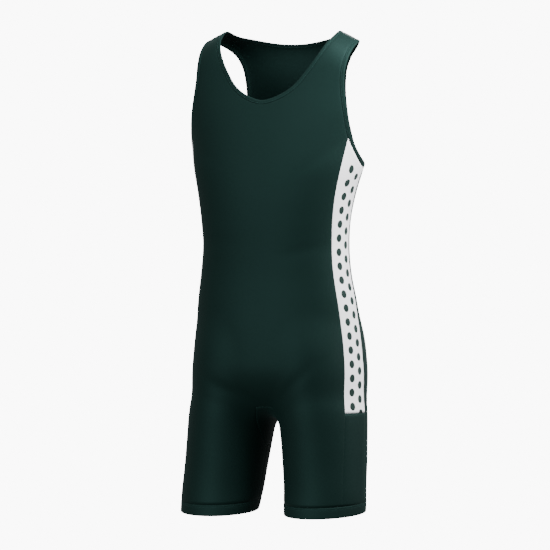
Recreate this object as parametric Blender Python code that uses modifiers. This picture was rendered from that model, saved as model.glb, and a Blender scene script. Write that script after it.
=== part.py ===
"""A one-piece weightlifting singlet in the shape it has when worn, hollow and with no wearer.

Frame: metres, +Z up, the front faces -Y, the wearer's left is +X. The origin lies midway between the
neck ends of the two shoulder seams, where the straps hang from the shoulders.

The cloth lies on one smooth figure, given by `field`. Seam lines are curves on that figure. Each cut
piece is a grid of points between its seam lines, drawn in by half a seam gap, with a wall behind it.
"""
import bmesh
import bpy
import numpy as np

CLOTH = 0.0014            # wall of one layer of knit
BINDING_WIDTH = 0.0080
BINDING_BACK = 0.0020     # a binding's inner face, behind the cloth's outer face
HEM_HEIGHT = 0.0200
HEM_BACK = 0.0026
SEAM_GAP = 0.0003
HEM_LEVEL, HEM_MID_Y, HEM_DIP = -0.889, -0.048, 0.10    # the hem is lower at the front

PANEL_COLUMNS = 10
SIDE_COLUMNS = 5
GUSSET_COLUMNS = 4

TORSO = [
    # level, half_width, front, back, widest_y, fullness
    (0.060, 0.198, -0.042, 0.044, 0.000, 2.5),
    (0.000, 0.196, -0.055, 0.052, 0.000, 2.6),
    (-0.050, 0.193, -0.069, 0.057, 0.000, 2.6),
    (-0.100, 0.188, -0.084, 0.063, -0.001, 2.6),
    (-0.150, 0.182, -0.100, 0.071, -0.003, 2.5),
    (-0.200, 0.173, -0.113, 0.080, -0.008, 2.4),
    (-0.250, 0.163, -0.122, 0.085, -0.020, 2.4),
    (-0.300, 0.1505, -0.126, 0.079, -0.030, 2.35),
    (-0.350, 0.1425, -0.126, 0.071, -0.034, 2.3),
    (-0.400, 0.140, -0.124, 0.068, -0.032, 2.3),
    (-0.450, 0.1445, -0.123, 0.070, -0.032, 2.3),
    (-0.500, 0.152, -0.125, 0.083, -0.027, 2.3),
    (-0.550, 0.156, -0.128, 0.097, -0.021, 2.3),
    (-0.600, 0.155, -0.129, 0.106, -0.018, 2.3),
    (-0.650, 0.159, -0.127, 0.106, -0.015, 2.3),
    (-0.720, 0.162, -0.118, 0.098, -0.010, 2.3),
]
LEG = [
    # level, centre_x, centre_y, half_width, half_depth, turn_degrees
    (-0.520, 0.080, -0.008, 0.066, 0.100, 0.0),
    (-0.600, 0.083, -0.012, 0.072, 0.102, 0.0),
    (-0.660, 0.087, -0.016, 0.077, 0.100, 0.0),
    (-0.700, 0.091, -0.021, 0.080, 0.096, 0.0),
    (-0.760, 0.097, -0.027, 0.0785, 0.088, 0.0),
    (-0.830, 0.103, -0.037, 0.0768, 0.078, 0.0),
    (-0.900, 0.1086, -0.050, 0.0763, 0.0712, 45.0),
    (-0.960, 0.114, -0.058, 0.075, 0.070, 45.0),
]
CORE = [
    # level, x, y: the line that a piece's rows swing about, from the leg's axis to the trunk's
    (-0.900, 0.1086, -0.050),
    (-0.830, 0.103, -0.037),
    (-0.760, 0.097, -0.027),
    (-0.700, 0.086, -0.020),
    (-0.640, 0.055, -0.018),
    (-0.570, 0.018, -0.020),
    (-0.500, 0.000, -0.026),
    (-0.400, 0.000, -0.030),
    (-0.250, 0.000, -0.016),
    (-0.100, 0.000, 0.000),
    (0.010, 0.000, 0.000),
]
SEAT_LEVEL, SEAT_DROP = -0.605, 0.108
THIGH_LEVEL, THIGH_RISE = -0.600, 0.100
SHOULDER_X, SHOULDER_SLOPE, SHOULDER_BEND = 0.118, 0.54, 0.010
RIDGE_LEVEL, RIDGE_PITCH, RIDGE_BEND = 0.0035, 0.60, 0.008
SHOULDER_BLEND, CROTCH_BLEND, HIP_BLEND = 0.030, 0.012, 0.030
TORSO_REACH, LEG_REACH = 0.110, 0.085

NECK = [
    # x, y, z, rows to the next point: the edge of the neck opening, from the centre front over the shoulder
    (0.0000, -0.0925, -0.1270, 2),
    (0.0310, -0.0890, -0.1185, 2),
    (0.0580, -0.0810, -0.1010, 2),
    (0.0775, -0.0710, -0.0765, 2),
    (0.0985, -0.0550, -0.0430, 2),
    (0.1120, -0.0270, -0.0110, 1),
    (0.1140, 0.0000, 0.0020, 2),
    (0.1030, 0.0225, -0.0080, 2),
    (0.0810, 0.0330, -0.0125, 2),
    (0.0420, 0.0430, -0.0200, 2),
    (0.0000, 0.0465, -0.0225, 0),
]
NECK_FRONT_ROWS = 11
ARMHOLE = [
    # x, y, z, rows to the next point: the edge of the armhole, from the front seam up, over and under
    (0.1630, -0.0525, -0.1940, 3),
    (0.1580, -0.0600, -0.1520, 3),
    (0.1525, -0.0600, -0.1080, 2),
    (0.1515, -0.0575, -0.0810, 2),
    (0.1530, -0.0490, -0.0560, 2),
    (0.1548, -0.0300, -0.0350, 2),
    (0.1555, 0.0000, -0.0190, 3),
    (0.1345, 0.0360, -0.0300, 1),
    (0.1195, 0.0475, -0.0440, 2),
    (0.1090, 0.0530, -0.0640, 2),
    (0.1030, 0.0575, -0.0980, 2),
    (0.1035, 0.0618, -0.1380, 2),
    (0.1095, 0.0650, -0.1800, 2),
    (0.1225, 0.0620, -0.2150, 1),
    (0.1375, 0.0550, -0.2310, 1),
    (0.1520, 0.0370, -0.2410, 1),
    (0.1630, 0.0150, -0.2450, 2),
    (0.1655, -0.0260, -0.2280, 3),
]
ARMHOLE_FRONT_ROWS, ARMHOLE_BACK_ROWS = 14, 17
GUSSET_SIDE_TIP = 5       # the row of the gusset's side where the inseam meets it
BINDING_RISE = (0.0002, 0.0008, 0.0003)    # a binding's outer face off the figure: edge, middle, seam
SIDE_SEAMS = [
    # level, front_x, front_y, back_x, back_y, rows to the next level
    (-0.8735, 0.1628, -0.0930, 0.1790, -0.0320, 3),
    (-0.8240, 0.1617, -0.0863, 0.1787, -0.0250, 3),
    (-0.7700, 0.1607, -0.0800, 0.1770, -0.0170, 2),
    (-0.7330, 0.1600, -0.0760, 0.1750, -0.0120, 2),
    (-0.7030, 0.1592, -0.0716, 0.1725, -0.0070, 4),
    (-0.6600, 0.1575, -0.0680, 0.1700, -0.0030, 2),
    (-0.6300, 0.1563, -0.0655, 0.1680, -0.0010, 2),
    (-0.5920, 0.1540, -0.0640, 0.1640, 0.0000, 3),
    (-0.5400, 0.1475, -0.0642, 0.1580, -0.0010, 3),
    (-0.4800, 0.1400, -0.0690, 0.1490, -0.0060, 3),
    (-0.4350, 0.1340, -0.0705, 0.1415, -0.0090, 2),
    (-0.3920, 0.1320, -0.0700, 0.1390, -0.0080, 2),
    (-0.3500, 0.1335, -0.0722, 0.1405, -0.0060, 3),
    (-0.3030, 0.1393, -0.0730, 0.1475, -0.0030, 3),
    (-0.2620, 0.1465, -0.0705, 0.1560, 0.0060, 3),
]
LOWER_SIDE_ROWS = 10
INSEAM = [
    # x, y, z, rows to the next point
    (0.0320, -0.0440, -0.8690, 2),
    (0.0260, -0.0360, -0.8200, 3),
    (0.0190, -0.0280, -0.7680, 0),
]
GUSSET_SIDE = [
    # x, y, z, rows to the next point: from the front corner by the inner thigh to the back corner
    (0.0150, -0.0860, -0.6950, 2),
    (0.0215, -0.0620, -0.7320, 3),
    (0.0190, -0.0280, -0.7680, 3),
    (0.0200, 0.0120, -0.7350, 2),
    (0.0150, 0.0460, -0.6970, 0),
]
GUSSET_CENTRE = [
    # x, y, z, rows to the next point
    (0.0, -0.0830, -0.6950, 3),
    (0.0, -0.0520, -0.7080, 2),
    (0.0, -0.0200, -0.7130, 2),
    (0.0, 0.0150, -0.7080, 3),
    (0.0, 0.0460, -0.6970, 0),
]
FRONT_CENTRE = [
    # x, y, z, rows to the next point; the neck binding's seam ends it
    (0.0, -0.0830, -0.6950, 2),
    (0.0, -0.1080, -0.6730, 2),
    (0.0, -0.1240, -0.6350, 3),
    (0.0, -0.1280, -0.5750, 4),
    (0.0, -0.1245, -0.4900, 4),
    (0.0, -0.1240, -0.4000, 4),
    (0.0, -0.1260, -0.3100, 4),
    (0.0, -0.1190, -0.2300, 3),
    (0.0, -0.1055, -0.1700, 3),
]
BACK_CENTRE = [
    # x, y, z, rows to the next point; the neck binding's seam ends it
    (0.0, 0.0460, -0.6970, 2),
    (0.0, 0.0750, -0.6780, 2),
    (0.0, 0.0980, -0.6450, 5),
    (0.0, 0.0970, -0.5500, 6),
    (0.0, 0.0700, -0.4500, 5),
    (0.0, 0.0710, -0.3500, 6),
    (0.0, 0.0860, -0.2620, 5),
    (0.0, 0.0870, -0.1500, 4),
]
MIRRORED = np.array([-1.0, 1.0, 1.0])


def along(table, levels):
    """The table's columns at the given levels, as a smooth curve of the level."""
    rows = np.array(table)[::-1] if table[0][0] > table[-1][0] else np.array(table)
    knots, values = rows[:, 0], rows[:, 1:]
    slopes = np.gradient(values, knots, axis=0)
    levels = np.clip(levels, knots[0], knots[-1])
    k = np.clip(np.searchsorted(knots, levels) - 1, 0, len(knots) - 2)
    width = (knots[k + 1] - knots[k])[..., None]
    s = (levels - knots[k])[..., None] / width
    return np.moveaxis((1 + 2 * s) * (1 - s) ** 2 * values[k] + s * (1 - s) ** 2 * width * slopes[k]
                       + s * s * (3 - 2 * s) * values[k + 1] + s * s * (s - 1) * width * slopes[k + 1], -1, 0)


def soft_min(a, b, reach):
    """The lesser of two values, rounded where they are within `reach` of each other."""
    near = np.maximum(reach - np.abs(a - b), 0) / reach
    return np.minimum(a, b) - near * near * reach / 4


def trunk(x, y, z):
    """A stack of rounded-square rings, closed below by a round seat."""
    half, front, back, middle, power = along(TORSO, z)
    depth = np.where(y < middle, middle - front, back - middle)
    seat = np.maximum(SEAT_LEVEL - z, 0) / SEAT_DROP
    ring = np.abs(x / half) ** power + np.abs((y - middle) / depth) ** power + seat ** power
    return (ring ** (1 / power) - 1) * TORSO_REACH


def shoulders(x, y, z):
    """A roof that falls to the front, the back and the outside from a level ridge."""
    out = np.abs(x) - SHOULDER_X
    fall = SHOULDER_SLOPE * (out + np.sqrt(out ** 2 + SHOULDER_BEND ** 2)) / 2
    pitch = RIDGE_PITCH * (np.sqrt(y ** 2 + RIDGE_BEND ** 2) - RIDGE_BEND)
    return (z - RIDGE_LEVEL + fall + pitch) / np.sqrt(1 + RIDGE_PITCH ** 2)


def thigh(x, y, z):
    """A stack of oval rings, closed above inside the trunk."""
    centre_x, centre_y, half, depth, turn = along(LEG, z)
    turn = np.radians(turn)
    dx, dy = x - centre_x, y - centre_y
    px, py = dx * np.cos(turn) + dy * np.sin(turn), dy * np.cos(turn) - dx * np.sin(turn)
    top = np.maximum(z - THIGH_LEVEL, 0) / THIGH_RISE
    return (np.sqrt((px / half) ** 2 + (py / depth) ** 2 + top ** 2) - 1) * LEG_REACH


def field(p):
    """Below nought inside the figure, nought on its surface, above nought outside."""
    x, y, z = p[..., 0], p[..., 1], p[..., 2]
    upper = -soft_min(-trunk(x, y, z), -shoulders(x, y, z), SHOULDER_BLEND)
    legs = soft_min(thigh(x, y, z), thigh(-x, y, z), CROTCH_BLEND)
    return soft_min(upper, legs, HIP_BLEND)


def slope(p, step=1e-4):
    """The field's gradient, by central differences."""
    steps = np.eye(3) * step
    return np.stack([(field(p + d) - field(p - d)) / (2 * step) for d in steps], -1)


def outward(p):
    g = slope(p)
    return g / np.linalg.norm(g, axis=-1, keepdims=True)


def onto(p, free=(1, 1, 1)):
    """Points moved onto the figure down the field's slope, along the free axes only."""
    for _ in range(12):
        g = slope(p) * free
        p = p - (field(p) / (g ** 2).sum(-1))[..., None] * g
    return p


def curve(points, parts, ends="open"):
    """A smooth curve on the figure through the points, in `parts` equal steps from each to the next.

    A closed curve comes back to its first point, which isn't repeated; a mirrored one crosses x = 0 squarely.
    """
    points = np.array(points, float)
    if ends == "closed":
        guides = np.concatenate([points[-2:], points, points[:2]])
        first = 2
    elif ends == "mirrored":
        guides = np.concatenate([points[2:0:-1] * MIRRORED, points, points[-2:-4:-1] * MIRRORED])
        first = 2
    else:
        guides, first = points, 0
    chord = np.concatenate([[0], np.cumsum(np.linalg.norm(np.diff(guides, axis=0), axis=1))])
    slopes = np.gradient(guides, chord, axis=0)
    pieces = []
    for k, count in enumerate(parts, first):
        s = np.arange(count)[:, None] / count
        w = chord[k + 1] - chord[k]
        pieces.append((1 + 2 * s) * (1 - s) ** 2 * guides[k] + s * (1 - s) ** 2 * w * slopes[k]
                      + s * s * (3 - 2 * s) * guides[k + 1] + s * s * (s - 1) * w * slopes[k + 1])
    if ends != "closed":
        pieces.append(points[-1:])
    return onto(np.concatenate(pieces))


def seam(table, last=None, ends="open"):
    """The curve of a table whose rows are x, y, z and the rows to the next point."""
    rows = np.array(table)
    points = rows[:, :3] if last is None else np.concatenate([rows[:, :3], [last]])
    counts = rows[:, 3].astype(int)
    return curve(points, counts if last is not None or ends == "closed" else counts[:-1], ends)


def aside(loop, distance):
    """A closed loop moved sideways along the figure, to the right of its way as seen from outside."""
    ahead = np.roll(loop, -1, 0) - np.roll(loop, 1, 0)
    side = np.cross(ahead, outward(loop))
    return onto(loop + distance * side / np.linalg.norm(side, axis=1, keepdims=True))


def swing(start, end, columns, way):
    """Rows of points from one rail to the other: the angle and the distance about the core run evenly.

    way is 1 where the rows turn towards the wearer's left from the front, -1 where they do from the back.
    """
    s = np.linspace(0, 1, columns + 1)[:, None]
    level = start[:, 2] * (1 - s) + end[:, 2] * s
    arms = [(p[:, :2] - np.stack(along(CORE, p[:, 2]), -1)) for p in (start, end)]
    angles = [np.arctan2(a[:, 1], a[:, 0]) for a in arms]
    lengths = [np.linalg.norm(a, axis=1) for a in arms]
    turn = way * ((way * (angles[1] - angles[0]) + np.pi / 2) % (2 * np.pi) - np.pi / 2)
    angle = angles[0] + s * turn
    length = lengths[0] * (1 - s) + lengths[1] * s
    core_x, core_y = along(CORE, level)
    rows = np.stack([core_x + length * np.cos(angle), core_y + length * np.sin(angle), level], -1)
    rows[0], rows[-1] = start, end
    return np.moveaxis(onto(rows), 0, 1)


def fitted(rows, first=None, last=None, reach=8):
    """The rows with their first or last one brought to a given line, and the change shared over `reach` rows."""
    rows = rows.copy()
    for line, order in ((first, rows), (last, rows[::-1])):
        if line is not None:
            change = line - order[0]
            for k in range(reach):
                order[k] += change * (1 - k / reach) ** 2
            order[:reach] = onto(order[:reach])
            order[0] = line
    return rows


def at_hem(line, height=0.0):
    """A line brought onto the figure at the sloping level of the hem."""
    for _ in range(4):
        line = np.stack([line[:, 0], line[:, 1], HEM_LEVEL + height + HEM_DIP * (line[:, 1] - HEM_MID_Y)], -1)
        line = onto(line, free=(1, 1, 0))
    return line


def add_wall(name, blocks, back, material, side=1, halves=False, rise=None):
    """One cut piece as a closed wall.

    blocks are grids of points on the figure which share their edges. The wall's outer face stands off by
    rise, given for each column, its inner face lies `back` behind the figure, and its rim is drawn in by
    half a seam gap. side is -1 for the wearer's right, and halves mirrors a piece that is cut at x = 0.
    """
    bm = bmesh.new()
    stand = bm.verts.layers.float.new("stand")
    for block in blocks:
        made = []
        for row in block:
            made.append([bm.verts.new(point) for point in row])
            for k, vert in enumerate(made[-1]):
                vert[stand] = 0.0 if rise is None else rise[k]
        for low, high in zip(made, made[1:]):
            for k in range(len(low) - 1):
                bm.faces.new((low[k], low[k + 1], high[k + 1], high[k]))
    bmesh.ops.remove_doubles(bm, verts=bm.verts[:], dist=2e-5)
    bm.verts.index_update()
    bm.normal_update()
    points = np.array([v.co[:] for v in bm.verts])
    stands = np.array([v[stand] for v in bm.verts])[:, None]
    out = outward(points)
    faces = [[v.index for v in f.verts] for f in bm.faces]
    faces = [face if f.normal.dot(out[face[0]]) > 0 else face[::-1] for f, face in zip(bm.faces, faces)]
    bm.free()

    edges = {(face[k - 1], face[k]) for face in faces for k in range(len(face))}
    rim = [(a, b) for a, b in edges if (b, a) not in edges]
    if halves:
        rim = [(a, b) for a, b in rim if abs(points[a, 0]) > 1e-6 or abs(points[b, 0]) > 1e-6]
    inwards = {}
    for a, b in rim:
        inward = np.cross(out[a] + out[b], points[b] - points[a])
        inward /= np.linalg.norm(inward)
        inwards.setdefault(a, []).append(inward)
        inwards.setdefault(b, []).append(inward)
    moved = points.copy()
    for k, ways in inwards.items():
        total = sum(ways)
        moved[k] += SEAM_GAP * total / (total @ total)
    edge = list(inwards)
    moved[edge] = onto(moved[edge])
    on_plane = np.abs(points[:, 0]) < 1e-6
    out = outward(moved)
    outer, inner = moved + stands * out, moved - back * out
    if halves:
        outer[on_plane, 0] = inner[on_plane, 0] = 0.0

    count = len(points)
    faces = faces + [[k + count for k in face[::-1]] for face in faces]
    faces += [[b, a, a + count, b + count] for a, b in rim]
    mirror = np.array([side, 1.0, 1.0])
    mesh = bpy.data.meshes.new(name)
    mesh.from_pydata((np.concatenate([outer, inner]) * mirror).tolist(), [],
                     faces if side > 0 else [face[::-1] for face in faces])
    mesh.shade_smooth()
    mesh.set_sharp_from_angle(angle=np.radians(50))
    mesh.materials.append(material)
    obj = bpy.data.objects.new(name, mesh)
    bpy.data.collections["singlet"].objects.link(obj)
    if halves:
        mod = obj.modifiers.new("Other half", "MIRROR")
        mod.merge_threshold = 0.00005
    return obj


def make_material(name, colour, roughness):
    mat = bpy.data.materials.new(name)
    mat.use_nodes = True
    shader = mat.node_tree.nodes["Principled BSDF"]
    shader.inputs["Base Color"].default_value = (*colour, 1)
    shader.inputs["Roughness"].default_value = roughness
    return mat


def main():
    for obj in list(bpy.data.objects):
        bpy.data.objects.remove(obj, do_unlink=True)
    bpy.context.scene.collection.children.link(bpy.data.collections.new("singlet"))
    green = make_material("green_knit", (0.009, 0.026, 0.024), 0.62)
    trim = make_material("green_trim", (0.008, 0.023, 0.021), 0.70)
    white = make_material("white_knit", (0.86, 0.86, 0.88), 0.60)

    # The neck and the armholes, edge and seam of their bindings
    half_neck = seam(NECK, ends="mirrored")
    neck_edge = np.concatenate([half_neck, half_neck[-2:0:-1] * MIRRORED])
    neck_seam = aside(neck_edge, BINDING_WIDTH)
    arm_edge = seam(ARMHOLE, ends="closed")
    arm_seam = aside(arm_edge, -BINDING_WIDTH)
    back_corner = ARMHOLE_FRONT_ROWS + ARMHOLE_BACK_ROWS
    arm_front = arm_seam[:ARMHOLE_FRONT_ROWS + 1]
    arm_back = arm_seam[ARMHOLE_FRONT_ROWS:back_corner + 1][::-1]
    arm_under = np.concatenate([arm_seam[back_corner:], arm_seam[:1]])[::-1]
    half = len(half_neck) - 1
    neck_front, neck_back = neck_seam[:NECK_FRONT_ROWS + 1], neck_seam[NECK_FRONT_ROWS:half + 1][::-1]

    # The long seams
    sides = np.array(SIDE_SEAMS)
    rows = sides[:, 5].astype(int)
    front_seam = curve(np.concatenate([sides[:, (1, 2, 0)], arm_seam[:1]]), rows)
    back_seam = curve(np.concatenate([sides[:, (3, 4, 0)], arm_seam[back_corner][None]]), rows)
    inseam = seam(INSEAM)
    for line in (front_seam, back_seam, inseam):
        line[:1] = at_hem(line[:1], HEM_HEIGHT)
    gusset_side, gusset_centre = seam(GUSSET_SIDE), seam(GUSSET_CENTRE)
    gusset_side[GUSSET_SIDE_TIP] = inseam[-1]
    gusset = fitted(np.linspace(gusset_centre, gusset_side, GUSSET_COLUMNS + 1, axis=1))
    gusset[:, 1:-1] = onto(gusset[:, 1:-1])
    front_rail = np.concatenate([inseam[:-1], gusset_side[GUSSET_SIDE_TIP:0:-1], gusset[0, ::-1][:-1],
                                 seam(FRONT_CENTRE, neck_front[0])[:-1], neck_front])
    back_rail = np.concatenate([inseam[:-1], gusset_side[GUSSET_SIDE_TIP:-1], gusset[-1, ::-1][:-1],
                                seam(BACK_CENTRE, neck_back[0])[:-1], neck_back])

    # The panels
    front = swing(front_rail, np.concatenate([front_seam[:-1], arm_front]), PANEL_COLUMNS, 1)
    back = swing(back_rail, np.concatenate([back_seam[:-1], arm_back]), PANEL_COLUMNS, -1)
    side = swing(front_seam, back_seam, SIDE_COLUMNS, 1)
    front, back, side = (fitted(grid, first=at_hem(grid[0], HEM_HEIGHT)) for grid in (front, back, side))
    side = fitted(side, last=arm_under, reach=14)

    add_wall("front", [front], CLOTH, green, halves=True)
    add_wall("back", [back], CLOTH, green, halves=True)
    add_wall("gusset", [gusset], CLOTH, green, halves=True)
    across = (0.0, 0.45, 1.0)
    neck = np.stack([aside(neck_edge, BINDING_WIDTH * t) for t in across], 1)[:half + 1]
    add_wall("neck_binding", [neck], BINDING_BACK, trim, halves=True, rise=BINDING_RISE)
    arm = np.stack([aside(arm_edge, -BINDING_WIDTH * t) for t in across], 1)
    arm = np.concatenate([arm, arm[:1]])
    ring = np.concatenate([front[0], side[0][1:], back[0, ::-1][1:]])
    hem = np.stack([at_hem(ring, HEM_HEIGHT * t) for t in (0.0, 0.5, 1.0)], 1)
    for name, hand in (("left", 1), ("right", -1)):
        add_wall("side_panel_" + name, [side[LOWER_SIDE_ROWS:]], CLOTH, white, hand)
        add_wall("side_lower_" + name, [side[:LOWER_SIDE_ROWS + 1]], CLOTH, green, hand)
        add_wall("armhole_binding_" + name, [arm], BINDING_BACK, trim, hand, rise=BINDING_RISE)
        add_wall("hem_" + name, [hem], HEM_BACK, trim, hand)


main()
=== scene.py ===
"""The looks of a weightlifting singlet as worn: stretch knit panels, bindings, leg bands and sewing."""

import bmesh
import bpy
import numpy as np
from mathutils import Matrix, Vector


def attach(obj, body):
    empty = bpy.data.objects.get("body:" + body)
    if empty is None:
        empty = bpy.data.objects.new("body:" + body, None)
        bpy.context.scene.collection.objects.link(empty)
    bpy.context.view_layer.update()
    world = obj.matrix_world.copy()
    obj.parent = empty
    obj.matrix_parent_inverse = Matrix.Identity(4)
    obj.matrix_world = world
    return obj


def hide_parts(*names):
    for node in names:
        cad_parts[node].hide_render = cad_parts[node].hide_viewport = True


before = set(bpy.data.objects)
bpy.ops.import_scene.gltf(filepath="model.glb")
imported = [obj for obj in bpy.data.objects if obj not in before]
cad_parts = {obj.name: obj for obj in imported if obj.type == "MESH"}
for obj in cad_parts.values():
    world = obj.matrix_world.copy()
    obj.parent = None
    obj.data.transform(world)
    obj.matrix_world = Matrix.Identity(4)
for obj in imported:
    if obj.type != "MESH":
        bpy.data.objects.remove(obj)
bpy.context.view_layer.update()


# Front and back panels.
# Each is cut in one piece of smooth stretch jersey, from the neck and the shoulders down over both thighs
# to the leg bands, and sewn to its neighbours with flat seams. As worn it lies on one smooth figure: rounded
# rings for the trunk, oval rings for the thighs and a roof under the straps. Seams are curves drawn on it.
FINE = 3                  # rows of the visible cloth for each row of its solid
CLOTH = 0.0012            # one layer of knit
HEM_HEIGHT = 0.0200
HEM_LEVEL, HEM_MID_Y, HEM_DIP = -0.889, -0.048, 0.10

TORSO = [
    # level, half_width, front, back, widest_y, fullness
    (0.060, 0.198, -0.042, 0.044, 0.000, 2.5),
    (0.000, 0.196, -0.055, 0.052, 0.000, 2.6),
    (-0.050, 0.193, -0.069, 0.057, 0.000, 2.6),
    (-0.100, 0.188, -0.084, 0.063, -0.001, 2.6),
    (-0.150, 0.182, -0.100, 0.071, -0.003, 2.5),
    (-0.200, 0.173, -0.113, 0.080, -0.008, 2.4),
    (-0.250, 0.163, -0.122, 0.085, -0.020, 2.4),
    (-0.300, 0.1505, -0.126, 0.079, -0.030, 2.35),
    (-0.350, 0.1425, -0.126, 0.071, -0.034, 2.3),
    (-0.400, 0.140, -0.124, 0.068, -0.032, 2.3),
    (-0.450, 0.1445, -0.123, 0.070, -0.032, 2.3),
    (-0.500, 0.152, -0.125, 0.083, -0.027, 2.3),
    (-0.550, 0.156, -0.128, 0.097, -0.021, 2.3),
    (-0.600, 0.155, -0.129, 0.106, -0.018, 2.3),
    (-0.650, 0.159, -0.127, 0.106, -0.015, 2.3),
    (-0.720, 0.162, -0.118, 0.098, -0.010, 2.3),
]
LEG = [
    # level, centre_x, centre_y, half_width, half_depth, turn_degrees
    (-0.520, 0.080, -0.008, 0.066, 0.100, 0.0),
    (-0.600, 0.083, -0.012, 0.072, 0.102, 0.0),
    (-0.660, 0.087, -0.016, 0.077, 0.100, 0.0),
    (-0.700, 0.091, -0.021, 0.080, 0.096, 0.0),
    (-0.760, 0.097, -0.027, 0.0785, 0.088, 0.0),
    (-0.830, 0.103, -0.037, 0.0768, 0.078, 0.0),
    (-0.900, 0.1086, -0.050, 0.0763, 0.0712, 45.0),
    (-0.960, 0.114, -0.058, 0.075, 0.070, 45.0),
]
CORE = [
    # level, x, y: the line that a piece's rows swing about, from the leg's axis to the trunk's
    (-0.900, 0.1086, -0.050),
    (-0.830, 0.103, -0.037),
    (-0.760, 0.097, -0.027),
    (-0.700, 0.086, -0.020),
    (-0.640, 0.055, -0.018),
    (-0.570, 0.018, -0.020),
    (-0.500, 0.000, -0.026),
    (-0.400, 0.000, -0.030),
    (-0.250, 0.000, -0.016),
    (-0.100, 0.000, 0.000),
    (0.010, 0.000, 0.000),
]
SEAT_LEVEL, SEAT_DROP = -0.605, 0.108
THIGH_LEVEL, THIGH_RISE = -0.600, 0.100
SHOULDER_X, SHOULDER_SLOPE, SHOULDER_BEND = 0.118, 0.54, 0.010
RIDGE_LEVEL, RIDGE_PITCH, RIDGE_BEND = 0.0035, 0.60, 0.008
SHOULDER_BLEND, CROTCH_BLEND, HIP_BLEND = 0.030, 0.012, 0.030
TORSO_REACH, LEG_REACH = 0.110, 0.085
MIRRORED = np.array([-1.0, 1.0, 1.0])


def hermite(s, width, low, high, slope_low, slope_high):
    """A cubic between two values with given slopes; s runs from 0 to 1 over the width."""
    return ((1 + 2 * s) * (1 - s) ** 2 * low + s * (1 - s) ** 2 * width * slope_low
            + s * s * (3 - 2 * s) * high + s * s * (s - 1) * width * slope_high)


def along(table, levels):
    """The table's columns at the given levels, as a smooth curve of the level."""
    rows = np.array(table)[::-1] if table[0][0] > table[-1][0] else np.array(table)
    knots, values = rows[:, 0], rows[:, 1:]
    slopes = np.gradient(values, knots, axis=0)
    levels = np.clip(levels, knots[0], knots[-1])
    k = np.clip(np.searchsorted(knots, levels) - 1, 0, len(knots) - 2)
    width = (knots[k + 1] - knots[k])[..., None]
    s = (levels - knots[k])[..., None] / width
    return np.moveaxis(hermite(s, width, values[k], values[k + 1], slopes[k], slopes[k + 1]), -1, 0)


def soft_min(a, b, reach):
    """The lesser of two values, rounded where they are within `reach` of each other."""
    near = np.maximum(reach - np.abs(a - b), 0) / reach
    return np.minimum(a, b) - near * near * reach / 4


def trunk(x, y, z):
    """(|x/half|^p + |y/depth|^p + seat^p)^(1/p) - 1: rounded-square rings, closed below by a round seat."""
    half, front, back, middle, power = along(TORSO, z)
    depth = np.where(y < middle, middle - front, back - middle)
    seat = np.maximum(SEAT_LEVEL - z, 0) / SEAT_DROP
    ring = np.abs(x / half) ** power + np.abs((y - middle) / depth) ** power + seat ** power
    return (ring ** (1 / power) - 1) * TORSO_REACH


def shoulders(x, y, z):
    """Height above a roof that falls to the front, the back and the outside from a level ridge."""
    out = np.abs(x) - SHOULDER_X
    fall = SHOULDER_SLOPE * (out + np.sqrt(out ** 2 + SHOULDER_BEND ** 2)) / 2
    pitch = RIDGE_PITCH * (np.sqrt(y ** 2 + RIDGE_BEND ** 2) - RIDGE_BEND)
    return (z - RIDGE_LEVEL + fall + pitch) / np.sqrt(1 + RIDGE_PITCH ** 2)


def thigh(x, y, z):
    """sqrt((x/half)^2 + (y/depth)^2 + top^2) - 1: oval rings, closed above inside the trunk."""
    centre_x, centre_y, half, depth, turn = along(LEG, z)
    turn = np.radians(turn)
    dx, dy = x - centre_x, y - centre_y
    px, py = dx * np.cos(turn) + dy * np.sin(turn), dy * np.cos(turn) - dx * np.sin(turn)
    top = np.maximum(z - THIGH_LEVEL, 0) / THIGH_RISE
    return (np.sqrt((px / half) ** 2 + (py / depth) ** 2 + top ** 2) - 1) * LEG_REACH


def field(p):
    """Below nought inside the figure, nought on its surface, above nought outside."""
    x, y, z = p[..., 0], p[..., 1], p[..., 2]
    upper = -soft_min(-trunk(x, y, z), -shoulders(x, y, z), SHOULDER_BLEND)
    legs = soft_min(thigh(x, y, z), thigh(-x, y, z), CROTCH_BLEND)
    return soft_min(upper, legs, HIP_BLEND)


def slope(p, step=1e-4):
    """The field's gradient, by central differences."""
    return np.stack([(field(p + d) - field(p - d)) / (2 * step) for d in np.eye(3) * step], -1)


def outward(p):
    """The unit normal of the figure at each point."""
    g = slope(p)
    return g / np.linalg.norm(g, axis=-1, keepdims=True)


def onto(p, free=(1, 1, 1), rounds=8):
    """Points moved onto the figure down the field's slope, along the free axes only."""
    for _ in range(rounds):
        g = slope(p) * free
        p = p - (field(p) / (g ** 2).sum(-1))[..., None] * g
    return p


def curve(points, parts, ends="open"):
    """A smooth curve on the figure through the points, in `parts` equal steps from each to the next.

    A closed curve comes back to its first point, which isn't repeated; a mirrored one crosses x = 0 squarely.
    """
    points = np.array(points, float)
    guides, first = points, 0
    if ends == "closed":
        guides, first = np.concatenate([points[-2:], points, points[:2]]), 2
    elif ends == "mirrored":
        guides, first = np.concatenate([points[2:0:-1] * MIRRORED, points, points[-2:-4:-1] * MIRRORED]), 2
    chord = np.concatenate([[0], np.cumsum(np.linalg.norm(np.diff(guides, axis=0), axis=1))])
    slopes = np.gradient(guides, chord, axis=0)
    pieces = [hermite(np.arange(count)[:, None] / count, chord[k + 1] - chord[k],
                      guides[k], guides[k + 1], slopes[k], slopes[k + 1])
              for k, count in enumerate(parts, first)]
    if ends != "closed":
        pieces.append(points[-1:])
    return onto(np.concatenate(pieces))


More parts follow.
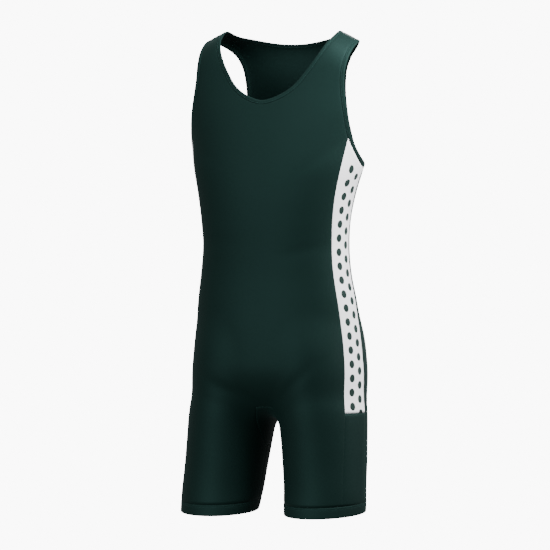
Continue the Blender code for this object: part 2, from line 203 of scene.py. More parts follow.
def seam(table, last=None, ends="open"):
    """The curve of a table whose rows are x, y, z and the rows to the next point."""
    rows = np.array(table)
    points = rows[:, :3] if last is None else np.concatenate([rows[:, :3], [last]])
    counts = rows[:, 3].astype(int) * FINE
    return curve(points, counts if last is not None or ends == "closed" else counts[:-1], ends)


def aside(loop, distance):
    """A closed loop moved sideways along the figure, to the right of its way as seen from outside."""
    ahead = np.roll(loop, -1, 0) - np.roll(loop, 1, 0)
    side = np.cross(ahead, outward(loop))
    return onto(loop + distance * side / np.linalg.norm(side, axis=1, keepdims=True))


def at_hem(line, height=0.0):
    """A line brought onto the figure at the sloping level of the hem."""
    for _ in range(4):
        level = HEM_LEVEL + height + HEM_DIP * (line[:, 1] - HEM_MID_Y)
        line = onto(np.stack([line[:, 0], line[:, 1], level], -1), free=(1, 1, 0))
    return line


NECK = [
    # x, y, z, rows to the next point: the edge of the neck opening, from the centre front over the shoulder
    (0.0000, -0.0925, -0.1270, 2),
    (0.0310, -0.0890, -0.1185, 2),
    (0.0580, -0.0810, -0.1010, 2),
    (0.0775, -0.0710, -0.0765, 2),
    (0.0985, -0.0550, -0.0430, 2),
    (0.1120, -0.0270, -0.0110, 1),
    (0.1140, 0.0000, 0.0020, 2),
    (0.1030, 0.0225, -0.0080, 2),
    (0.0810, 0.0330, -0.0125, 2),
    (0.0420, 0.0430, -0.0200, 2),
    (0.0000, 0.0465, -0.0225, 0),
]
NECK_FRONT_ROWS = 11 * FINE
ARMHOLE = [
    # x, y, z, rows to the next point: the edge of the armhole, from the front seam up, over and under
    (0.1630, -0.0525, -0.1940, 3),
    (0.1580, -0.0600, -0.1520, 3),
    (0.1525, -0.0600, -0.1080, 2),
    (0.1515, -0.0575, -0.0810, 2),
    (0.1530, -0.0490, -0.0560, 2),
    (0.1548, -0.0300, -0.0350, 2),
    (0.1555, 0.0000, -0.0190, 3),
    (0.1345, 0.0360, -0.0300, 1),
    (0.1195, 0.0475, -0.0440, 2),
    (0.1090, 0.0530, -0.0640, 2),
    (0.1030, 0.0575, -0.0980, 2),
    (0.1035, 0.0618, -0.1380, 2),
    (0.1095, 0.0650, -0.1800, 2),
    (0.1225, 0.0620, -0.2150, 1),
    (0.1375, 0.0550, -0.2310, 1),
    (0.1520, 0.0370, -0.2410, 1),
    (0.1630, 0.0150, -0.2450, 2),
    (0.1655, -0.0260, -0.2280, 3),
]
ARMHOLE_FRONT_ROWS, ARMHOLE_BACK_ROWS = 14 * FINE, 17 * FINE
BINDING_WIDTH = 0.0080
SIDE_SEAMS = [
    # level, front_x, front_y, back_x, back_y, rows to the next level
    (-0.8735, 0.1628, -0.0930, 0.1790, -0.0320, 3),
    (-0.8240, 0.1617, -0.0863, 0.1787, -0.0250, 3),
    (-0.7700, 0.1607, -0.0800, 0.1770, -0.0170, 2),
    (-0.7330, 0.1600, -0.0760, 0.1750, -0.0120, 2),
    (-0.7030, 0.1592, -0.0716, 0.1725, -0.0070, 4),
    (-0.6600, 0.1575, -0.0680, 0.1700, -0.0030, 2),
    (-0.6300, 0.1563, -0.0655, 0.1680, -0.0010, 2),
    (-0.5920, 0.1540, -0.0640, 0.1640, 0.0000, 3),
    (-0.5400, 0.1475, -0.0642, 0.1580, -0.0010, 3),
    (-0.4800, 0.1400, -0.0690, 0.1490, -0.0060, 3),
    (-0.4350, 0.1340, -0.0705, 0.1415, -0.0090, 2),
    (-0.3920, 0.1320, -0.0700, 0.1390, -0.0080, 2),
    (-0.3500, 0.1335, -0.0722, 0.1405, -0.0060, 3),
    (-0.3030, 0.1393, -0.0730, 0.1475, -0.0030, 3),
    (-0.2620, 0.1465, -0.0705, 0.1560, 0.0060, 3),
]
LOWER_SIDE_ROWS = 10 * FINE

half_neck = seam(NECK, ends="mirrored")
neck_edge = np.concatenate([half_neck, half_neck[-2:0:-1] * MIRRORED])
neck_seam = aside(neck_edge, BINDING_WIDTH)
arm_edge = seam(ARMHOLE, ends="closed")
arm_seam = aside(arm_edge, -BINDING_WIDTH)
half = len(half_neck) - 1
arm_corner = ARMHOLE_FRONT_ROWS + ARMHOLE_BACK_ROWS
neck_front, neck_back = neck_seam[:NECK_FRONT_ROWS + 1], neck_seam[NECK_FRONT_ROWS:half + 1][::-1]
arm_front, arm_back = arm_seam[:ARMHOLE_FRONT_ROWS + 1], arm_seam[ARMHOLE_FRONT_ROWS:arm_corner + 1][::-1]
arm_under = np.concatenate([arm_seam[arm_corner:], arm_seam[:1]])[::-1]
sides = np.array(SIDE_SEAMS)
side_rows = sides[:, 5].astype(int) * FINE
front_seam = curve(np.concatenate([sides[:, (1, 2, 0)], arm_seam[:1]]), side_rows)
back_seam = curve(np.concatenate([sides[:, (3, 4, 0)], arm_seam[arm_corner][None]]), side_rows)


# The knit is smooth stretch jersey. Its loops are far finer than a pixel from across a room, and run on a map
# in metres of cloth.
WALE, COURSE = 0.00075, 0.00060     # loop spacing across and along the cloth
LOOP_HEIGHT, LOOP_BUMP = 0.00012, 0.35
NOTCH_SWING, NOTCH_LEVEL = 0.22, 0.78     # height of a wale between and on its loops
LOOP_PAINTED_SHADE_SWING, LOOP_PAINTED_SHADE_LEVEL = 0.18, 0.88      # painted shade: the colour's rise from between the loops to their tops, and its darker level between the loops
DYE_SCALE, DYE_DETAIL, DYE_TONES = 9.0, 4.0, (0.93, 1.07)     # slightly uneven dye over the garment
CLOTH_GLOSS, SHEEN_SPREAD = 0.10, 0.45


def link(tree, output, socket):
    """Joins an output to an input socket."""
    tree.links.new(output, socket)


def math_node(tree, operation, *values):
    """A math node whose inputs are numbers or outputs."""
    node = tree.nodes.new("ShaderNodeMath")
    node.operation = operation
    for k, value in enumerate(values):
        if isinstance(value, (int, float)):
            node.inputs[k].default_value = value
        else:
            link(tree, value, node.inputs[k])
    return node.outputs[0]


def make_knit_group():
    """Height of the loops: a ridge for each wale, sin(pi u / wale), notched along v once a course; the same
    height paints shade into the colour, darker between the loops and lighter on their tops.
    """
    tree = bpy.data.node_groups.new("Stretch knit", "ShaderNodeTree")
    tree.interface.new_socket("Colour", in_out="INPUT", socket_type="NodeSocketColor")
    tree.interface.new_socket("Roughness", in_out="INPUT", socket_type="NodeSocketFloat")
    tree.interface.new_socket("Sheen", in_out="INPUT", socket_type="NodeSocketFloat")
    tree.interface.new_socket("Gloss", in_out="INPUT", socket_type="NodeSocketColor")
    tree.interface.new_socket("Shader", in_out="OUTPUT", socket_type="NodeSocketShader")
    enter, leave = tree.nodes.new("NodeGroupInput"), tree.nodes.new("NodeGroupOutput")
    uv = tree.nodes.new("ShaderNodeUVMap")
    uv.uv_map = "cloth"
    split = tree.nodes.new("ShaderNodeSeparateXYZ")
    link(tree, uv.outputs["UV"], split.inputs[0])
    across = math_node(tree, "MULTIPLY", split.outputs["X"], np.pi / WALE)
    ridge = math_node(tree, "ABSOLUTE", math_node(tree, "SINE", across))
    up = math_node(tree, "MULTIPLY", split.outputs["Y"], 2 * np.pi / COURSE)
    notch = math_node(tree, "MULTIPLY_ADD", math_node(tree, "SINE", up), NOTCH_SWING, NOTCH_LEVEL)
    height = math_node(tree, "MULTIPLY", ridge, notch)
    bump = tree.nodes.new("ShaderNodeBump")
    bump.inputs["Strength"].default_value = LOOP_BUMP
    bump.inputs["Distance"].default_value = LOOP_HEIGHT
    link(tree, height, bump.inputs["Height"])
    place = tree.nodes.new("ShaderNodeTexCoord")
    cloud = tree.nodes.new("ShaderNodeTexNoise")
    cloud.inputs["Scale"].default_value = DYE_SCALE
    cloud.inputs["Detail"].default_value = DYE_DETAIL
    link(tree, place.outputs["Object"], cloud.inputs["Vector"])
    tone = tree.nodes.new("ShaderNodeMapRange")
    tone.inputs["To Min"].default_value, tone.inputs["To Max"].default_value = DYE_TONES
    link(tree, cloud.outputs["Fac"], tone.inputs["Value"])
    # Painted shade: the base colour is darkened between the loops and lightened on their tops, following
    # their height, and multiplied by the uneven dye.
    loop_painted_shade = math_node(tree, "MULTIPLY_ADD", height, LOOP_PAINTED_SHADE_SWING, LOOP_PAINTED_SHADE_LEVEL)
    dye_and_painted_shade = math_node(tree, "MULTIPLY", tone.outputs["Result"], loop_painted_shade)
    tint = tree.nodes.new("ShaderNodeMix")
    tint.data_type, tint.blend_type = "RGBA", "MULTIPLY"
    tint.inputs["Factor"].default_value = 1.0
    link(tree, enter.outputs["Colour"], tint.inputs["A"])
    link(tree, dye_and_painted_shade, tint.inputs["B"])
    shader = tree.nodes.new("ShaderNodeBsdfPrincipled")
    shader.inputs["Specular IOR Level"].default_value = CLOTH_GLOSS
    shader.inputs["Sheen Roughness"].default_value = SHEEN_SPREAD
    link(tree, tint.outputs["Result"], shader.inputs["Base Color"])
    link(tree, enter.outputs["Roughness"], shader.inputs["Roughness"])
    link(tree, enter.outputs["Sheen"], shader.inputs["Sheen Weight"])
    link(tree, enter.outputs["Gloss"], shader.inputs["Specular Tint"])
    link(tree, enter.outputs["Gloss"], shader.inputs["Sheen Tint"])
    link(tree, bump.outputs["Normal"], shader.inputs["Normal"])
    link(tree, shader.outputs["BSDF"], leave.inputs["Shader"])
    return tree


knit_group = make_knit_group()


def knit_material(name, colour, gloss, roughness=0.56, sheen=0.02):
    """A material whose surface is the knit group; returns it, its tree and the group's node."""
    mat = bpy.data.materials.new(name)
    mat.use_nodes = True
    tree = mat.node_tree
    tree.nodes.clear()
    knit = tree.nodes.new("ShaderNodeGroup")
    knit.node_tree = knit_group
    knit.inputs["Colour"].default_value = (*colour, 1)
    knit.inputs["Roughness"].default_value = roughness
    knit.inputs["Sheen"].default_value = sheen
    knit.inputs["Gloss"].default_value = (*gloss, 1)
    out = tree.nodes.new("ShaderNodeOutputMaterial")
    link(tree, knit.outputs["Shader"], out.inputs["Surface"])
    return mat, tree, knit


GREEN, GREEN_GLOSS = (0.0037, 0.0103, 0.0090), (0.42, 1.0, 0.92)
green_knit = knit_material("Green knit", GREEN, GREEN_GLOSS)[0]


# The cloth dips a little at each seam, and pulls into a few soft creases at the groin, the seat
# and the waist.
PANEL_STEPS = 40
SEAM_STEPS = (0.0, 0.0015, 0.004, 0.009, 0.016)
SEAM_DIP, SEAM_REACH = 0.00045, 0.0016
INSEAM = [
    # x, y, z, rows to the next point
    (0.0320, -0.0440, -0.8690, 2),
    (0.0260, -0.0360, -0.8200, 3),
    (0.0190, -0.0280, -0.7680, 0),
]
GUSSET_SIDE = [
    # x, y, z, rows to the next point: from the front corner by the inner thigh to the back corner
    (0.0150, -0.0860, -0.6950, 2),
    (0.0215, -0.0620, -0.7320, 3),
    (0.0190, -0.0280, -0.7680, 3),
    (0.0200, 0.0120, -0.7350, 2),
    (0.0150, 0.0460, -0.6970, 0),
]
GUSSET_CENTRE = [
    # x, y, z, rows to the next point
    (0.0, -0.0830, -0.6950, 3),
    (0.0, -0.0520, -0.7080, 2),
    (0.0, -0.0200, -0.7130, 2),
    (0.0, 0.0150, -0.7080, 3),
    (0.0, 0.0460, -0.6970, 0),
]
FRONT_CENTRE = [
    # x, y, z, rows to the next point; the neck binding's seam ends it
    (0.0, -0.0830, -0.6950, 2),
    (0.0, -0.1080, -0.6730, 2),
    (0.0, -0.1240, -0.6350, 3),
    (0.0, -0.1280, -0.5750, 4),
    (0.0, -0.1245, -0.4900, 4),
    (0.0, -0.1240, -0.4000, 4),
    (0.0, -0.1260, -0.3100, 4),
    (0.0, -0.1190, -0.2300, 3),
    (0.0, -0.1055, -0.1700, 3),
]
BACK_CENTRE = [
    # x, y, z, rows to the next point; the neck binding's seam ends it
    (0.0, 0.0460, -0.6970, 2),
    (0.0, 0.0750, -0.6780, 2),
    (0.0, 0.0980, -0.6450, 5),
    (0.0, 0.0970, -0.5500, 6),
    (0.0, 0.0700, -0.4500, 5),
    (0.0, 0.0710, -0.3500, 6),
    (0.0, 0.0860, -0.2620, 5),
    (0.0, 0.0870, -0.1500, 4),
]
GUSSET_TIP = 5 * FINE
GUSSET_COLUMNS = 4 * FINE
CREASE_OFF = 0.045                       # how far off the cloth a crease still reads
CREASE_BEND, CREASE_WAVE = 0.5, 1.6      # how much and how fast its middle line curves
CREASES = [
    # x, y, z of the middle, direction x, y, z, half_length, half_width, depth: soft troughs
    (0.070, -0.118, -0.655, 0.80, 0.02, 0.60, 0.055, 0.011, 0.0016),    # groin, left
    (-0.066, -0.119, -0.660, -0.84, 0.02, 0.54, 0.060, 0.012, 0.0018),    # groin, right
    (0.030, -0.110, -0.672, 0.55, -0.10, 0.83, 0.035, 0.007, 0.0010),
    (-0.024, -0.108, -0.670, -0.45, -0.10, 0.89, 0.040, 0.008, 0.0011),
    (0.118, -0.092, -0.232, 0.85, 0.25, 0.40, 0.040, 0.012, 0.0009),    # below the armholes
    (-0.120, -0.092, -0.226, -0.83, 0.25, 0.46, 0.044, 0.011, 0.0009),
    (0.085, -0.104, -0.405, 0.97, 0.22, 0.06, 0.045, 0.010, 0.0008),    # waist
    (-0.092, -0.102, -0.388, -0.96, 0.22, 0.10, 0.050, 0.012, 0.0009),
    (0.020, 0.068, -0.372, 0.99, 0.00, 0.07, 0.070, 0.010, 0.0018),    # small of the back
    (-0.025, 0.066, -0.402, 0.99, 0.00, -0.05, 0.078, 0.011, 0.0020),
    (0.015, 0.068, -0.436, 0.99, 0.00, 0.04, 0.060, 0.010, 0.0015),
    (0.080, 0.078, -0.690, 0.96, -0.18, 0.20, 0.050, 0.010, 0.0018),    # under the seat
    (-0.084, 0.077, -0.696, -0.95, -0.18, 0.24, 0.054, 0.011, 0.0017),
    (0.060, 0.083, -0.235, 0.80, 0.02, 0.60, 0.060, 0.012, 0.0009),    # shoulder blades
    (-0.064, 0.083, -0.246, -0.82, 0.02, 0.56, 0.056, 0.012, 0.0009),
]


def swing(start, end, steps, way):
    """Rows of points from one rail to the other: the angle and the distance about the core run evenly.

    way is 1 where the rows turn towards the wearer's left from the front, -1 where they do from the back.
    """
    s = np.array(steps)[:, None]
    level = start[:, 2] * (1 - s) + end[:, 2] * s
    arms = [(p[:, :2] - np.stack(along(CORE, p[:, 2]), -1)) for p in (start, end)]
    angles = [np.arctan2(a[:, 1], a[:, 0]) for a in arms]
    lengths = [np.linalg.norm(a, axis=1) for a in arms]
    turn = way * ((way * (angles[1] - angles[0]) + np.pi / 2) % (2 * np.pi) - np.pi / 2)
    angle = angles[0] + s * turn
    length = lengths[0] * (1 - s) + lengths[1] * s
    core_x, core_y = along(CORE, level)
    rows = np.stack([core_x + length * np.cos(angle), core_y + length * np.sin(angle), level], -1)
    rows[0], rows[-1] = start, end
    return np.moveaxis(onto(rows), 0, 1)


def fitted(rows, first=None, last=None, reach=8 * FINE):
    """The rows with the first or last one brought to a given line, the change shared over `reach` rows.

    Row k takes (1 - k / reach)^2 of the change, and is brought back onto the figure.
    """
    rows = rows.copy()
    for line, order in ((first, rows), (last, rows[::-1])):
        if line is not None:
            change = line - order[0]
            for k in range(reach):
                order[k] += change * (1 - k / reach) ** 2
            order[:reach] = onto(order[:reach])
            order[0] = line
    return rows


def creased(p):
    """Depth of the creases at points p: the sum of depth * exp(-(run/length)^2 - (across/width)^2).

    run is along the crease, across is over the cloth from its gently curved middle line, and a third
    Gaussian of the distance off the cloth keeps a crease of the front off the back.
    """
    depth = np.zeros(p.shape[:-1])
    for x, y, z, dx, dy, dz, length, width, deep in CREASES:
        middle = np.array([x, y, z])
        way = np.array([dx, dy, dz]) / np.linalg.norm((dx, dy, dz))
        out = outward(middle[None])[0]
        over = np.cross(out, way)
        run, across, off = (p - middle) @ way, (p - middle) @ over, (p - middle) @ out
        across = across - width * CREASE_BEND * np.sin(CREASE_WAVE * run / length)
        depth += deep * np.exp(-(run / length) ** 2 - (across / width) ** 2 - (off / CREASE_OFF) ** 2)
    return depth


def settled(p, side=1):
    """Points of the figure sunk by the creases; side -1 reads them mirrored, on the wearer's right."""
    return p - creased(p * (side, 1, 1))[..., None] * outward(p)


def lengths_along(grid, axis):
    """Distance over the cloth from the first row or column, along the given axis of the grid."""
    steps = np.linalg.norm(np.diff(grid, axis=axis), axis=-1)
    pad = ((1, 0), (0, 0)) if axis == 0 else ((0, 0), (1, 0))
    return np.pad(np.cumsum(steps, axis=axis), pad)


def dipped(grid, left=1):
    """Depth of the dips at a piece's seams: dip * exp(-(distance/reach)^2) from each of its edges.

    left is 1 where the left edge is a seam and 0 where the piece runs on across x = 0, or a row of these.
    """
    across, up = lengths_along(grid, 1), lengths_along(grid, 0)
    near = (np.asarray(left)[..., None] * np.exp(-(across / SEAM_REACH) ** 2)
            + np.exp(-((across[:, -1:] - across) / SEAM_REACH) ** 2)
            + np.exp(-(up / SEAM_REACH) ** 2) + np.exp(-((up[-1:] - up) / SEAM_REACH) ** 2))
    return SEAM_DIP * np.minimum(near, 1)


STRAP_LEVEL, STRAP_PACE = -0.08, 0.94      # where the straps start, and how much faster the map runs on them


def map_of(grid):
    """The cloth's map in metres, wales upright: across from x = 0, and up, faster on the straps."""
    level = grid[..., 2]
    return np.stack([grid[:, :1, 0] + lengths_along(grid, 1),
                     level + STRAP_PACE * np.maximum(level - STRAP_LEVEL, 0)], -1)


def quads_of(rows, columns, around=False, rolled=False):
    """Corners of the quads of a grid; around joins its last row to its first, rolled its last column."""
    index = np.arange(rows * columns).reshape(rows, columns)
    index = np.concatenate([index, index[:1]]) if around else index
    index = np.concatenate([index, index[:, :1]], 1) if rolled else index
    return np.stack([index[:-1, :-1], index[:-1, 1:], index[1:, 1:], index[1:, :-1]], -1).reshape(-1, 4)


def mesh_of(name, sheets, uv, around=False, rolled=False):
    """A mesh of one grid of points, or of a left and a right one that share the edge x = 0, faces outward.

    The sum of each quad's area vector times the figure's normal tells which way a sheet faces, and the
    volume inside tells it of a rolled one.
    """
    points, quads, maps = [], [], []
    for k, sheet in enumerate(sheets):
        flat = sheet.reshape(-1, 3)
        four = quads_of(*sheet.shape[:2], around, rolled)
        a, b, c, d = (flat[four[:, n]] for n in range(4))
        if rolled:
            facing = (a * (np.cross(b, c) + np.cross(c, d))).sum()
        else:
            facing = (np.cross(c - a, d - b) * outward((a + c) / 2)).sum()
        four = four if facing > 0 else four[:, ::-1]
        side = -1 if flat[:, 0].sum() < -1e-3 else 1
        maps.append((uv.reshape(-1, 2) * (side, 1))[four.ravel()])
        quads.append(four + k * len(flat))
        points.append(flat)
    mesh = bpy.data.meshes.new(name)
    mesh.from_pydata(np.concatenate(points).tolist(), [], np.concatenate(quads).tolist())
    mesh.uv_layers.new(name="cloth").data.foreach_set("uv", np.concatenate(maps).astype(np.float32).ravel())
    if len(sheets) > 1:
        bm = bmesh.new()
        bm.from_mesh(mesh)
        bmesh.ops.remove_doubles(bm, verts=bm.verts[:], dist=0.00001)
        bm.to_mesh(mesh)
        bm.free()
    mesh.shade_smooth()
    return mesh


def add_piece(name, mesh, material):
    """Puts a mesh in the scene as a piece of the singlet's one body, with its material slot."""
    mesh.materials.append(material)
    obj = bpy.data.objects.new(name, mesh)
    bpy.context.scene.collection.objects.link(obj)
    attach(obj, "root")
    return obj


def add_cloth(name, node, grid, dip, uv, material, sides):
    """A cut piece: the grid sunk by its seams' dips and the creases, on one or both sides, walled inwards."""
    sheets = [(settled(grid, side) - dip[..., None] * outward(grid)) * (side, 1, 1) for side in sides]
    obj = add_piece(name, mesh_of(name, sheets, uv), material)
    wall = obj.modifiers.new("Wall", "SOLIDIFY")
    wall.thickness, wall.offset = CLOTH, -1
    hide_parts(node)
    return obj


def steps_between_seams(count):
    """Column places from 0 to 1, even but for a few close ones at each end, where the seams are."""
    low = np.array(SEAM_STEPS)
    high = 1 - low[::-1]
    return np.concatenate([low, np.linspace(low[-1], high[0], count + 1)[1:-1], high])


inseam = seam(INSEAM)
for line in (front_seam, back_seam, inseam):
    line[:1] = at_hem(line[:1], HEM_HEIGHT)
gusset_side, gusset_centre = seam(GUSSET_SIDE), seam(GUSSET_CENTRE)
gusset_side[GUSSET_TIP] = inseam[-1]
gusset = np.linspace(gusset_centre, gusset_side, GUSSET_COLUMNS + 1, axis=1)
gusset[:, 1:-1] = onto(gusset[:, 1:-1])
front_rail = np.concatenate([inseam[:-1], gusset_side[GUSSET_TIP:0:-1], gusset[0, ::-1][:-1],
                             seam(FRONT_CENTRE, neck_front[0])[:-1], neck_front])
back_rail = np.concatenate([inseam[:-1], gusset_side[GUSSET_TIP:-1], gusset[-1, ::-1][:-1],
                            seam(BACK_CENTRE, neck_back[0])[:-1], neck_back])
panel_steps = steps_between_seams(PANEL_STEPS)
front_grid = swing(front_rail, np.concatenate([front_seam[:-1], arm_front]), panel_steps, 1)
back_grid = swing(back_rail, np.concatenate([back_seam[:-1], arm_back]), panel_steps, -1)
OFF_CENTRE = 1e-6         # a rail further than this from x = 0 is a seam
panels = {}
for name, rail, grid in (("front", front_rail, front_grid), ("back", back_rail, back_grid)):
    grid = fitted(grid, first=at_hem(grid[0], HEM_HEIGHT))
    inner_seam = (rail[:, 0] > OFF_CENTRE).astype(float)
    panels[name] = grid
    panel = add_cloth(name + "_panel", name, grid, dipped(grid, inner_seam), map_of(grid),
                      green_knit, sides=(1, -1))


# Gusset.
# A small diamond of the same knit let in at the crotch between both panels, on the fold, with its side
# points running a little down the inner thighs, so that the legs can part.
gusset_map = np.stack([lengths_along(gusset, 1), lengths_along(gusset, 0)], -1)
piece = add_cloth("crotch_gusset", "gusset", gusset, dipped(gusset, left=0), gusset_map,
                  green_knit, sides=(1, -1))


# White side bands, and the green pieces below them.
# A band of white knit runs down each side from the armhole to the upper thigh, sewn between the front and
# back panels. Two staggered columns of round green dots are printed on it, and end one step below the
# armhole. Green knit goes on from it to the leg band.
DOT_RADIUS, DOT_PITCH, DOT_EDGE = 0.0075, 0.026, 0.0003
DOT_ASIDE = 0.0130         # the two columns of dots from the middle of the band
SIDE_STEPS = 14            # columns of the band between its seams
ARMHOLE_FIT_ROWS = 14 * FINE     # rows that bend to the armhole's curve
DOT_GREEN = (0.0060, 0.0200, 0.0170)
WHITE = (0.90, 0.90, 0.92)
white_knit, tree, knit = knit_material("White knit with green dots", WHITE, (1, 1, 1),
                                       roughness=0.60, sheen=0.05)
uv = tree.nodes.new("ShaderNodeUVMap")
uv.uv_map = "cloth"
split = tree.nodes.new("ShaderNodeSeparateXYZ")
link(tree, uv.outputs["UV"], split.inputs[0])
from_column = math_node(tree, "SUBTRACT", math_node(tree, "ABSOLUTE", split.outputs["X"]), DOT_ASIDE)
staggered = math_node(tree, "MULTIPLY_ADD", math_node(tree, "GREATER_THAN", split.outputs["X"], 0.0),
                      DOT_PITCH / 2, split.outputs["Y"])
up = math_node(tree, "WRAP", staggered, DOT_PITCH / 2, -DOT_PITCH / 2)
reach = math_node(tree, "SQRT", math_node(tree, "ADD", math_node(tree, "MULTIPLY", from_column, from_column),
                                          math_node(tree, "MULTIPLY", up, up)))
dot = tree.nodes.new("ShaderNodeMapRange")
dot.inputs["From Min"].default_value = DOT_RADIUS - DOT_EDGE / 2
dot.inputs["From Max"].default_value = DOT_RADIUS + DOT_EDGE / 2
link(tree, reach, dot.inputs["Value"])
print_mix = tree.nodes.new("ShaderNodeMix")
print_mix.data_type = "RGBA"
centre = math_node(tree, "SUBTRACT", split.outputs["Y"], up)
past_print = math_node(tree, "GREATER_THAN", centre, 0.0)
link(tree, math_node(tree, "MAXIMUM", dot.outputs["Result"], past_print), print_mix.inputs["Factor"])
print_mix.inputs["A"].default_value = (*DOT_GREEN, 1)
print_mix.inputs["B"].default_value = (*WHITE, 1)
link(tree, print_mix.outputs["Result"], knit.inputs["Colour"])


def line_at(line, steps):
    """The line's points at places from 0 to 1 of its rows, brought back onto the figure."""
    rows = np.linspace(0, 1, len(line))
    return onto(np.stack([np.interp(steps, rows, line[:, k]) for k in range(3)], -1))


side_steps = steps_between_seams(SIDE_STEPS)
side_grid = swing(front_seam, back_seam, side_steps, 1)
side_grid = fitted(side_grid, first=at_hem(side_grid[0], HEM_HEIGHT))
side_grid = fitted(side_grid, last=line_at(arm_under, side_steps), reach=ARMHOLE_FIT_ROWS)
across = lengths_along(side_grid, 1)
upward = lengths_along(side_grid, 0).mean(1, keepdims=True) + 0 * across
side_map = np.stack([across - across[:, -1:] / 2, upward], -1)
past_print.node.inputs[1].default_value = float(side_map[-1, 0, 1] - DOT_PITCH)
upper, lower = slice(LOWER_SIDE_ROWS, None), slice(0, LOWER_SIDE_ROWS + 1)
for hand, side in (("left", 1), ("right", -1)):
    for title, node, part, material, slot, flat in (
            ("side_band_", "side_panel_", upper, white_knit, "white_knit", (0.075, 0.52)),
            ("lower_side_", "side_lower_", lower, green_knit, "green_knit", (0.066, 0.165))):
        grid = side_grid[part]
        piece = add_cloth(title + hand, node + hand, grid, dipped(grid), side_map[part],
                          material, sides=(side,))


# Neck and armhole bindings.
# Strips of the green knit folded over the raw edge and sewn down with one row of stitches near the seam:
# rounded at the fold, full in the middle, and drawn in a little where the stitches hold it.
ROLLED = np.array([
    # from the free edge and off the figure, in mm, round the strip's section; its end is let into the panel
    (8.8, -0.95), (8.1, -0.50), (7.8, 0.15), (7.2, 0.50), (6.6, 0.42), (6.2, 0.36), (5.8, 0.44),
    (5.1, 0.70), (4.0, 0.82), (2.8, 0.84), (1.6, 0.72), (0.7, 0.40), (0.2, -0.10), (0.0, -0.60),
    (0.2, -1.15), (0.8, -1.65), (1.8, -1.92), (3.4, -2.00), (5.2, -2.00), (6.8, -1.95), (8.0, -1.75),
    (8.8, -1.35),
]) / 1000
STITCH_ROW = 0.0062                                   # from the binding's free edge
STITCH_RISE, STITCH_RISE_INSIDE = 0.00046, -0.00205   # of the thread off the figure, outside and inside
STITCH, STITCH_PITCH, THREAD = 0.0023, 0.0030, 0.00024
STITCH_RINGS = (-0.36, 0.0, 0.36)                     # places of a stitch's rings along its length
THREAD_GREEN = (0.0150, 0.0400, 0.0365)
green_trim = knit_material("Green knit, doubled", GREEN, GREEN_GLOSS, roughness=0.60, sheen=0.02)[0]
thread = knit_material("Green thread", THREAD_GREEN, GREEN_GLOSS, roughness=0.50, sheen=0.02)[0]


def strip(loop, way, section, side=1):
    """A section carried round a closed loop: aside by its first number, off the figure by its second."""
    columns = []
    for distance, rise in section:
        line = aside(loop, way * distance) if distance else loop
        columns.append(settled(line, side) + rise * outward(line))
    return np.stack(columns, 1) * (side, 1, 1)


def strip_map(grid):
    """Metres round the section and along the loop."""
    along_loop = lengths_along(grid, 0).mean(1, keepdims=True)
    return np.stack([lengths_along(grid, 1), along_loop + 0 * grid[..., 0]], -1)


def stitches(name, loop, rise, side=1, ring=6):
    """A row of stitches on a closed loop: capsules, x along the row, radius r * sqrt(1 - (2x/length)^4).

    Each one's middle line falls to both ends by (2x/length)^2 of the thread's radius, into the cloth.
    """
    closed = np.concatenate([loop, loop[:1]])
    run = np.concatenate([[0], np.cumsum(np.linalg.norm(np.diff(closed, axis=0), axis=1))])
    count = round(run[-1] / STITCH_PITCH)
    at = (np.arange(count) + 0.5) / count * run[-1]
    spots = onto(np.stack([np.interp(at, run, closed[:, k]) for k in range(3)], -1))
    out = outward(spots)
    ahead = np.roll(spots, -1, 0) - np.roll(spots, 1, 0)
    ahead /= np.linalg.norm(ahead, axis=1, keepdims=True)
    over = np.cross(out, ahead)
    x = np.array(STITCH_RINGS)
    radius = THREAD * np.sqrt(1 - (2 * x) ** 4)
    turn = np.arange(ring) / ring * 2 * np.pi
    rings = np.stack([np.repeat(x * STITCH, ring), np.outer(radius, np.cos(turn)).ravel(),
                      np.outer(radius, np.sin(turn)).ravel() - np.repeat((2 * x) ** 2 * THREAD, ring)], -1)
    shape = np.concatenate([rings, [(-STITCH / 2, 0, -2 * THREAD), (STITCH / 2, 0, -2 * THREAD)]])
    frames = np.stack([ahead, over, out], 1)
    base = settled(spots, side) + rise * out
    points = (base[:, None] + np.einsum("vk,ckx->cvx", shape, frames)) * (side, 1, 1)
    k = np.arange(ring)
    after = (k + 1) % ring
    walls = np.concatenate([np.stack([k + low, k + low + ring, after + low + ring, after + low], -1)
                            for low in (0, ring)])
    caps = np.concatenate([np.stack([0 * k + 3 * ring, k, after], -1),
                           np.stack([0 * k + 3 * ring + 1, after + 2 * ring, k + 2 * ring], -1)])
    offsets = np.arange(count)[:, None, None] * len(shape)
    walls, caps = (walls + offsets).reshape(-1, 4), (caps + offsets).reshape(-1, 3)
    if side < 0:
        walls, caps = walls[:, ::-1], caps[:, ::-1]
    mesh = bpy.data.meshes.new(name)
    mesh.from_pydata(points.reshape(-1, 3).tolist(), [], walls.tolist() + caps.tolist())
    mesh.uv_layers.new(name="cloth")
    mesh.shade_smooth()
    return add_piece(name, mesh, thread)


def add_strip(name, node, grid):
    """A strip with a closed section, smoothed once."""
    mesh = mesh_of(name, [grid], strip_map(grid), around=True, rolled=True)
    obj = add_piece(name, mesh, green_trim)
    smooth = obj.modifiers.new("Smooth", "SUBSURF")
    smooth.levels = smooth.render_levels = 1
    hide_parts(node)
    shell = np.concatenate([grid, grid[:1]])
    shell = np.concatenate([shell, shell[:, :1]], 1)


neck_row = aside(neck_edge, STITCH_ROW)
sewing = [stitches("neck_stitches", neck_row, STITCH_RISE),
          stitches("neck_stitches_inside", neck_row, STITCH_RISE_INSIDE)]
add_strip("neck_edge", "neck_binding", strip(neck_edge, 1, ROLLED))
arm_row = aside(arm_edge, -STITCH_ROW)
for hand, side in (("left", 1), ("right", -1)):
    sewing = [stitches("armhole_stitches_" + hand, arm_row, STITCH_RISE, side),
              stitches("armhole_stitches_inside_" + hand, arm_row, STITCH_RISE_INSIDE, side)]
    add_strip("armhole_edge_" + hand, "armhole_binding_" + hand, strip(arm_edge, -1, ROLLED, side))


